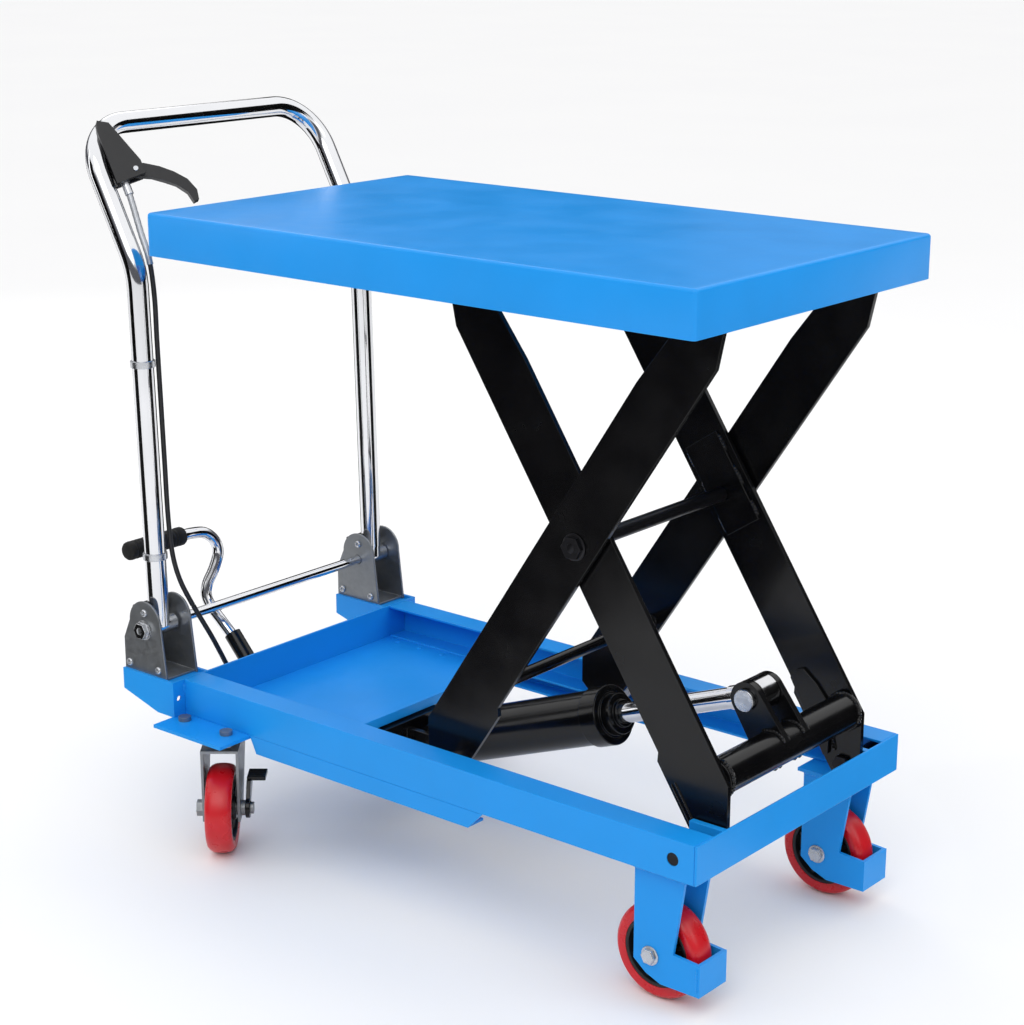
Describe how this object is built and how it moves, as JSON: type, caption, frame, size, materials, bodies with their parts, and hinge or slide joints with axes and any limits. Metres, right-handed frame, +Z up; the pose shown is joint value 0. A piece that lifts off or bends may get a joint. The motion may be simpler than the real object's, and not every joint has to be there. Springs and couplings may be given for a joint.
{
  "type": "scissor lift table",
  "caption": "Foot-pumped hydraulic scissor lift table: flat tray platform on crossed arms, C-section chassis, push handle with release lever, fixed front wheels and braked swivel casters.",
  "frame": {"origin": "on the floor under the middle of the table, in the plane of symmetry of the chassis and scissor", "axes": "+Z up, +X to the front (fixed wheels), -X to the push handle, +Y to the left of someone facing +X"},
  "size_m": [0.8952, 0.4996, 0.8407],
  "materials": {
    "blue_powder_coat": "smooth semi-gloss powder coat",
    "black_gloss_paint": "gloss paint",
    "black_zinc_steel": "black zinc",
    "zinc_steel": "zinc plated, satin",
    "chrome_steel": "polished chrome",
    "black_rubber": "matte",
    "black_plastic": "satin",
    "cable_sheath": "satin",
    "red_wheel": "smooth polyurethane"
  },
  "bodies": {
    "chassis": {"side_rails": "blue_powder_coat", "front_plate": "blue_powder_coat", "rear_wall": "blue_powder_coat", "tray_pan": "blue_powder_coat", "rail_stiffeners": "blue_powder_coat", "rear_arms": "blue_powder_coat", "pivot_lugs": "blue_powder_coat", "lower_pivot_pins": "zinc_steel", "front_forks": "blue_powder_coat", "front_axles": "zinc_steel", "handle_brackets": "zinc_steel", "handle_stops": "black_rubber", "bracket_bolts": "zinc_steel", "cross_bar": "chrome_steel", "caster_plates": "zinc_steel", "pump_block": "black_gloss_paint", "pedal_bracket": "blue_powder_coat", "release_cable_lower": "cable_sheath"},
    "front_wheel_near": {"front_wheel_near": "red_wheel"},
    "front_wheel_far": {"front_wheel_far": "red_wheel"},
    "caster_near": {"caster_fork_near": "zinc_steel"},
    "caster_far": {"caster_fork_far": "zinc_steel"},
    "caster_wheel_near": {"caster_wheel_near": "red_wheel"},
    "caster_wheel_far": {"caster_wheel_far": "red_wheel"},
    "brake_near": {"brake_pedal_near": "black_gloss_paint"},
    "brake_far": {"brake_pedal_far": "black_gloss_paint"},
    "inner_arms": {"inner_arm_near": "black_gloss_paint", "inner_arm_far": "black_gloss_paint", "torsion_tube": "black_gloss_paint", "clevis_ears": "black_gloss_paint", "clevis_pin": "zinc_steel", "centre_shaft": "black_zinc_steel", "upper_roller_axles": "zinc_steel"},
    "outer_arms": {"outer_arm_near": "black_gloss_paint", "outer_arm_far": "black_gloss_paint", "outer_cross_rod": "black_gloss_paint", "lower_roller_axles": "zinc_steel"},
    "lower_roller_near": {"lower_roller_near": "zinc_steel"},
    "lower_roller_far": {"lower_roller_far": "zinc_steel"},
    "upper_roller_near": {"upper_roller_near": "zinc_steel"},
    "upper_roller_far": {"upper_roller_far": "zinc_steel"},
    "platform": {"platform_deck": "blue_powder_coat", "platform_rails": "blue_powder_coat", "platform_lugs": "blue_powder_coat", "upper_pivot_pins": "zinc_steel"},
    "piston_rod": {"piston_rod": "chrome_steel"},
    "cylinder": {"cylinder_barrel": "black_gloss_paint", "cylinder_gland": "zinc_steel"},
    "pedal": {"pedal_tube": "chrome_steel", "pedal_grip": "black_rubber", "pedal_socket": "black_gloss_paint"},
    "pump_rod": {"pump_rod": "zinc_steel"},
    "handle": {"handle_tube": "chrome_steel", "handle_bushes": "chrome_steel", "release_housing": "black_plastic", "cable_clips": "zinc_steel", "release_cable_upper": "cable_sheath"},
    "release_lever": {"release_lever": "black_plastic"}
  },
  "joints": [
    {"name": "lift", "type": "hinge", "parent": "chassis", "child": "inner_arms", "pos_m": [0.419, 0, 0.1725], "axis": [0, 1, 0], "range_deg": [-52.4, 0]},
    {"name": "scissor", "type": "hinge", "parent": "inner_arms", "child": "outer_arms", "pos_m": [0.2519, 0, 0.4495], "axis": [0, 1, 0], "range_deg": [0, 105]},
    {"name": "platform_level", "type": "hinge", "parent": "outer_arms", "child": "platform", "pos_m": [0.419, 0, 0.7265], "axis": [0, 1, 0], "range_deg": [-52.5, 0]},
    {"name": "rod_eye", "type": "hinge", "parent": "inner_arms", "child": "piston_rod", "pos_m": [0.387, 0, 0.2825], "axis": [0, 1, 0], "range_deg": [0, 57.2]},
    {"name": "ram_stroke", "type": "slide", "parent": "piston_rod", "child": "cylinder", "axis": [-0.9372, 0, -0.3488], "range_m": [-0.0965, 0]},
    {"name": "lower_roller_near_spin", "type": "hinge", "parent": "outer_arms", "child": "lower_roller_near", "pos_m": [0.0848, -0.178, 0.1725], "axis": [0, 1, 0], "continuous": true},
    {"name": "lower_roller_far_spin", "type": "hinge", "parent": "outer_arms", "child": "lower_roller_far", "pos_m": [0.0848, 0.178, 0.1725], "axis": [0, 1, 0], "continuous": true},
    {"name": "upper_roller_near_spin", "type": "hinge", "parent": "inner_arms", "child": "upper_roller_near", "pos_m": [0.0848, -0.156, 0.7265], "axis": [0, 1, 0], "continuous": true},
    {"name": "upper_roller_far_spin", "type": "hinge", "parent": "inner_arms", "child": "upper_roller_far", "pos_m": [0.0848, 0.156, 0.7265], "axis": [0, 1, 0], "continuous": true},
    {"name": "front_wheel_near_spin", "type": "hinge", "parent": "chassis", "child": "front_wheel_near", "pos_m": [0.386, -0.158, 0.0525], "axis": [0, 1, 0], "continuous": true},
    {"name": "front_wheel_far_spin", "type": "hinge", "parent": "chassis", "child": "front_wheel_far", "pos_m": [0.386, 0.158, 0.0525], "axis": [0, 1, 0], "continuous": true},
    {"name": "caster_near_swivel", "type": "hinge", "parent": "chassis", "child": "caster_near", "pos_m": [-0.237, -0.181, 0.11], "axis": [0, 0, 1], "continuous": true},
    {"name": "caster_far_swivel", "type": "hinge", "parent": "chassis", "child": "caster_far", "pos_m": [-0.237, 0.181, 0.11], "axis": [0, 0, 1], "continuous": true},
    {"name": "caster_wheel_near_spin", "type": "hinge", "parent": "caster_near", "child": "caster_wheel_near", "pos_m": [-0.21915, -0.20257, 0.0525], "axis": [-0.7705, -0.6374, 0], "continuous": true},
    {"name": "caster_wheel_far_spin", "type": "hinge", "parent": "caster_far", "child": "caster_wheel_far", "pos_m": [-0.21915, 0.20257, 0.0525], "axis": [0.7705, -0.6374, 0], "continuous": true},
    {"name": "brake_near_press", "type": "hinge", "parent": "caster_near", "child": "brake_near", "pos_m": [-0.21915, -0.20257, 0.0525], "axis": [-0.7705, -0.6374, 0], "range_deg": [0, 18]},
    {"name": "brake_far_press", "type": "hinge", "parent": "caster_far", "child": "brake_far", "pos_m": [-0.21915, 0.20257, 0.0525], "axis": [0.7705, -0.6374, 0], "range_deg": [0, 18]},
    {"name": "foot_pedal", "type": "hinge", "parent": "chassis", "child": "pedal", "pos_m": [-0.312, -0.06, 0.166], "axis": [0, 1, 0], "range_deg": [-28, 0], "stiffness_Nm_per_rad": 20, "springref_deg": 8.59},
    {"name": "pump_stroke", "type": "slide", "parent": "chassis", "child": "pump_rod", "axis": [1, 0, 0], "range_m": [0, 0.0248]},
    {"name": "handle_fold", "type": "hinge", "parent": "chassis", "child": "handle", "pos_m": [-0.338, 0, 0.248], "axis": [0, 1, 0], "range_deg": [0, 3.5]},
    {"name": "release_squeeze", "type": "hinge", "parent": "handle", "child": "release_lever", "pos_m": [-0.38519, -0.15022, 0.77781], "axis": [0.7611, -0.5, 0.4132], "range_deg": [0, 16], "stiffness_Nm_per_rad": 1.5, "springref_deg": -5.73}
  ],
  "couplings": [
    {"joint": "scissor", "follows": "lift", "ratio": -2},
    {"joint": "platform_level", "follows": "lift", "ratio": 1},
    {"joint": "rod_eye", "follows": "lift", "ratio": -1.085},
    {"joint": "ram_stroke", "follows": "lift", "m_per_rad": 0.105},
    {"joint": "pump_stroke", "follows": "foot_pedal", "m_per_rad": -0.0505}
  ]
}
